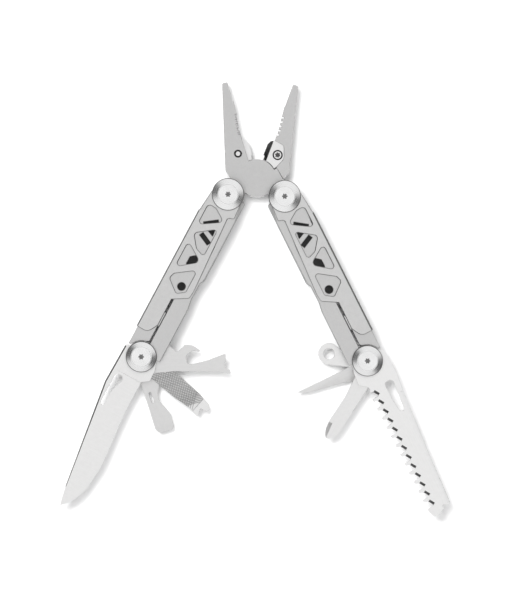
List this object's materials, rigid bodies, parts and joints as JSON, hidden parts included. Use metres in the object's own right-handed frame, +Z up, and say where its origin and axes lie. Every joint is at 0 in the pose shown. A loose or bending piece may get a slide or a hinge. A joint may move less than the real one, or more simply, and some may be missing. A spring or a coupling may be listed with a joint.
{
  "type": "folding multi tool",
  "caption": "Folding pocket tool laid open: needle-nose pliers with wire cutters between two steel plate handles that hold a knife, a saw and small folding tools.",
  "frame": {"origin": "centre of the bounding box in X and Y, at the height of the lowest screw heads the tool lies on", "axes": "+Z up through the stack of plates, from the back screw heads to the front ones; +Y along the tool towards the plier tips; +X to the right, towards the handle with the saw"},
  "size_m": [0.1908, 0.2128, 0.0176],
  "materials": {
    "satin_steel": "bead-blasted stainless steel, satin",
    "tool_steel": "ground stainless steel, satin",
    "blade_steel": "fine-ground stainless steel, bright satin",
    "turned_steel": "turned and polished stainless steel",
    "cutter_steel": "ground hardened steel",
    "plain_steel": "plain stamped steel"
  },
  "bodies": {
    "front_jaw": {"front_jaw": "satin_steel", "plier_pivot_pin": "turned_steel", "front_jaw_cutter": "cutter_steel", "front_cutter_screw": "turned_steel"},
    "back_jaw": {"back_jaw": "satin_steel", "back_jaw_cutter": "cutter_steel", "back_cutter_screw": "turned_steel"},
    "left_handle": {"left_front_cover": "satin_steel", "left_back_cover": "satin_steel", "left_front_liner": "satin_steel", "left_back_liner": "satin_steel", "left_head_barrel": "turned_steel", "left_head_screw": "turned_steel", "left_tool_barrel": "turned_steel", "left_tool_screw": "turned_steel", "left_washers": "plain_steel", "left_head_spacer": "plain_steel", "left_cover_dowels": "turned_steel"},
    "right_handle": {"right_front_cover": "satin_steel", "right_back_cover": "satin_steel", "right_front_liner": "satin_steel", "right_back_liner": "satin_steel", "right_head_barrel": "turned_steel", "right_head_screw": "turned_steel", "right_tool_barrel": "turned_steel", "right_tool_screw": "turned_steel", "right_washers": "plain_steel", "right_head_spacer": "plain_steel", "right_cover_dowels": "turned_steel"},
    "knife_blade": {"knife_blade": "blade_steel"},
    "can_opener": {"can_opener": "tool_steel"},
    "file": {"file": "tool_steel"},
    "flat_screwdriver": {"flat_screwdriver": "tool_steel"},
    "saw_blade": {"saw_blade": "blade_steel"},
    "cross_screwdriver": {"cross_screwdriver": "tool_steel"},
    "lanyard_ring": {"lanyard_ring": "tool_steel"},
    "awl": {"awl": "tool_steel"},
    "left_front_lock": {"left_front_lock": "satin_steel"},
    "left_back_lock": {"left_back_lock": "satin_steel"},
    "right_front_lock": {"right_front_lock": "satin_steel"},
    "right_back_lock": {"right_back_lock": "satin_steel"}
  },
  "joints": [
    {"name": "plier_pivot", "type": "hinge", "parent": "front_jaw", "child": "back_jaw", "pos_m": [0.00109, 0.05916, 0.00745], "axis": [0, 0, 1], "range_deg": [0, 38]},
    {"name": "left_handle_fold", "type": "hinge", "parent": "back_jaw", "child": "left_handle", "pos_m": [-0.01308, 0.05099, 0.00745], "axis": [0, 0, -1], "range_deg": [-7, 172.9]},
    {"name": "right_handle_fold", "type": "hinge", "parent": "front_jaw", "child": "right_handle", "pos_m": [0.01465, 0.05003, 0.00745], "axis": [0, 0, 1], "range_deg": [-9.7, 170.3]},
    {"name": "knife_fold", "type": "hinge", "parent": "left_handle", "child": "knife_blade", "pos_m": [-0.05547, -0.0284, 0.01255], "axis": [0, 0, 1], "range_deg": [0, 180]},
    {"name": "can_opener_fold", "type": "hinge", "parent": "left_handle", "child": "can_opener", "pos_m": [-0.05547, -0.0284, 0.00995], "axis": [0, 0, 1], "range_deg": [-118.1, 61.9]},
    {"name": "file_fold", "type": "hinge", "parent": "left_handle", "child": "file", "pos_m": [-0.05547, -0.0284, 0.00745], "axis": [0, 0, 1], "range_deg": [-76.6, 103.4]},
    {"name": "flat_screwdriver_fold", "type": "hinge", "parent": "left_handle", "child": "flat_screwdriver", "pos_m": [-0.05547, -0.0284, 0.00495], "axis": [0, 0, 1], "range_deg": [-46.1, 133.9]},
    {"name": "saw_fold", "type": "hinge", "parent": "right_handle", "child": "saw_blade", "pos_m": [0.05509, -0.03038, 0.01255], "axis": [0, 0, -1], "range_deg": [0, 180]},
    {"name": "cross_screwdriver_fold", "type": "hinge", "parent": "right_handle", "child": "cross_screwdriver", "pos_m": [0.05509, -0.03038, 0.00995], "axis": [0, 0, -1], "range_deg": [-54.3, 125.7]},
    {"name": "lanyard_ring_fold", "type": "hinge", "parent": "right_handle", "child": "lanyard_ring", "pos_m": [0.05509, -0.03038, 0.00745], "axis": [0, 0, -1], "range_deg": [-123.4, 56.6]},
    {"name": "awl_fold", "type": "hinge", "parent": "right_handle", "child": "awl", "pos_m": [0.05509, -0.03038, 0.00495], "axis": [0, 0, -1], "range_deg": [-92, 88]},
    {"name": "left_front_lock_flex", "type": "hinge", "parent": "left_handle", "child": "left_front_lock", "pos_m": [-0.04428, 0.0019, 0.0146], "axis": [-0.8821, 0.471, 0], "range_deg": [-2.5, 0], "stiffness_Nm_per_rad": 0.2},
    {"name": "left_back_lock_flex", "type": "hinge", "parent": "left_handle", "child": "left_back_lock", "pos_m": [-0.04428, 0.0019, 0.003], "axis": [0.8821, -0.471, 0], "range_deg": [-2.5, 0], "stiffness_Nm_per_rad": 0.2},
    {"name": "right_front_lock_flex", "type": "hinge", "parent": "right_handle", "child": "right_front_lock", "pos_m": [0.04464, 0.00019, 0.0146], "axis": [-0.8934, -0.4493, 0], "range_deg": [-2.5, 0], "stiffness_Nm_per_rad": 0.2},
    {"name": "right_back_lock_flex", "type": "hinge", "parent": "right_handle", "child": "right_back_lock", "pos_m": [0.04464, 0.00019, 0.003], "axis": [0.8934, 0.4493, 0], "range_deg": [-2.5, 0], "stiffness_Nm_per_rad": 0.2}
  ]
}
